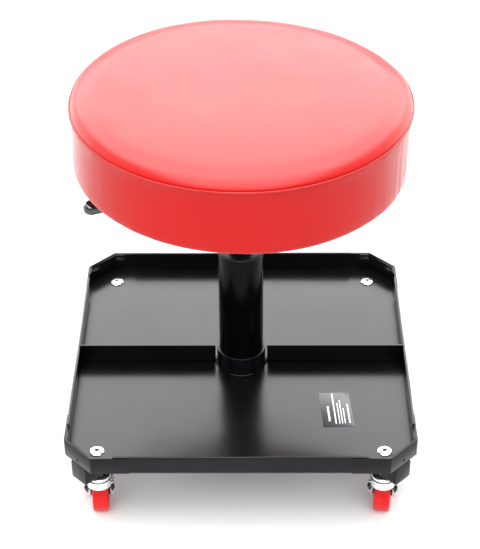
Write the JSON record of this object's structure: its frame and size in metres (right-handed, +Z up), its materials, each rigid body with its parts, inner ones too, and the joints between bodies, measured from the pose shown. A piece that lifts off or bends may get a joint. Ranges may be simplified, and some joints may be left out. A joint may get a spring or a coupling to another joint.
{
  "type": "rolling workshop stool with tool tray",
  "caption": "Round padded stool seat on a gas-lift column, standing on a square cut-corner tool tray that rolls on swivel casters.",
  "frame": {"origin": "on the floor under the column's axis, at the middle of the base", "axes": "+Z up along the column, -Y to the front, +X to the right seen from the front"},
  "size_m": [0.4, 0.4, 0.482],
  "materials": {
    "red_vinyl": "glossy grained PVC leathercloth over foam",
    "plywood": "raw plywood",
    "black_powder_coat": "satin powder coat",
    "black_enamel": "semi-gloss paint",
    "black_plastic": "moulded plastic",
    "black_rubber": "matte rubber",
    "red_wheel": "polyurethane tread",
    "zinc": "bright zinc plating",
    "bright_steel": "ground steel",
    "label_film": "blank semi-clear label"
  },
  "bodies": {
    "root": {"tray_pan": "black_powder_coat", "divider_left": "black_powder_coat", "divider_right": "black_powder_coat", "tray_label": "label_film", "arm_caps": "black_powder_coat", "column_sleeve": "black_powder_coat", "sleeve_nuts": "zinc", "column_tube": "black_enamel", "guide_bush": "black_plastic", "washer_lower": "bright_steel", "ball_cage": "bright_steel", "raceway_balls": "bright_steel", "corner_plate_fl": "black_powder_coat", "corner_plate_fr": "black_powder_coat", "corner_plate_rl": "black_powder_coat", "corner_plate_rr": "black_powder_coat", "frame_arm_fl": "black_powder_coat", "frame_arm_fr": "black_powder_coat", "frame_arm_rl": "black_powder_coat", "frame_arm_rr": "black_powder_coat", "caster_stem_fl": "zinc", "caster_stem_fr": "zinc", "caster_stem_rl": "zinc", "caster_stem_rr": "zinc"},
    "rod": {"lift_rod": "bright_steel", "piston": "bright_steel", "rod_clip": "bright_steel", "washer_upper": "bright_steel", "rubber_buffer": "black_rubber"},
    "seat": {"gas_cylinder": "black_enamel", "taper_socket": "black_enamel", "seat_plate": "black_enamel", "plate_bolts": "zinc", "tee_nuts": "zinc", "seat_board": "plywood", "seat_cushion": "red_vinyl", "lever_pin": "zinc"},
    "lever": {"lever": "zinc", "lever_grip": "black_plastic"},
    "button": {"release_button": "zinc"},
    "caster_fl": {"fork_fl": "zinc", "axle_bolt_fl": "zinc"},
    "wheel_fl": {"wheel_hub_fl": "black_plastic", "tyre_fl": "red_wheel"},
    "caster_fr": {"fork_fr": "zinc", "axle_bolt_fr": "zinc"},
    "wheel_fr": {"wheel_hub_fr": "black_plastic", "tyre_fr": "red_wheel"},
    "caster_rl": {"fork_rl": "zinc", "axle_bolt_rl": "zinc"},
    "wheel_rl": {"wheel_hub_rl": "black_plastic", "tyre_rl": "red_wheel"},
    "caster_rr": {"fork_rr": "zinc", "axle_bolt_rr": "zinc"},
    "wheel_rr": {"wheel_hub_rr": "black_plastic", "tyre_rr": "red_wheel"}
  },
  "joints": [
    {"name": "seat_swivel", "type": "hinge", "parent": "root", "child": "rod", "pos_m": [0, 0, 0.081], "axis": [0, 0, 1], "continuous": true},
    {"name": "seat_height", "type": "slide", "parent": "rod", "child": "seat", "axis": [0, 0, 1], "range_m": [-0.075, 0], "stiffness_N_per_m": 600, "springref_m": 0.1},
    {"name": "lever_pull", "type": "hinge", "parent": "seat", "child": "lever", "pos_m": [-0.03281, -0.01482, 0.381], "axis": [-0.4115, 0.9114, 0], "range_deg": [0, 3], "stiffness_Nm_per_rad": 2, "springref_deg": -5.73},
    {"name": "button_press", "type": "slide", "parent": "seat", "child": "button", "axis": [0, 0, 1], "range_m": [-0.003, 0]},
    {"name": "caster_swivel_fl", "type": "hinge", "parent": "root", "child": "caster_fl", "pos_m": [-0.164, -0.164, 0.064], "axis": [0, 0, 1], "continuous": true},
    {"name": "wheel_spin_fl", "type": "hinge", "parent": "caster_fl", "child": "wheel_fl", "pos_m": [-0.16557, -0.14607, 0.025], "axis": [0.9962, 0.0872, 0], "continuous": true},
    {"name": "caster_swivel_fr", "type": "hinge", "parent": "root", "child": "caster_fr", "pos_m": [0.164, -0.164, 0.064], "axis": [0, 0, 1], "continuous": true},
    {"name": "wheel_spin_fr", "type": "hinge", "parent": "caster_fr", "child": "wheel_fr", "pos_m": [0.16682, -0.14622, 0.025], "axis": [0.9877, -0.1564, 0], "continuous": true},
    {"name": "caster_swivel_rl", "type": "hinge", "parent": "root", "child": "caster_rl", "pos_m": [-0.164, 0.164, 0.064], "axis": [0, 0, 1], "continuous": true},
    {"name": "wheel_spin_rl", "type": "hinge", "parent": "caster_rl", "child": "wheel_rl", "pos_m": [-0.14841, 0.173, 0.025], "axis": [0.5, -0.866, 0], "continuous": true},
    {"name": "caster_swivel_rr", "type": "hinge", "parent": "root", "child": "caster_rr", "pos_m": [0.164, 0.164, 0.064], "axis": [0, 0, 1], "continuous": true},
    {"name": "wheel_spin_rr", "type": "hinge", "parent": "caster_rr", "child": "wheel_rr", "pos_m": [0.14769, 0.17161, 0.025], "axis": [0.4226, 0.9063, 0], "continuous": true}
  ],
  "couplings": [
    {"joint": "button_press", "follows": "lever_pull", "m_per_rad": -0.036}
  ]
}
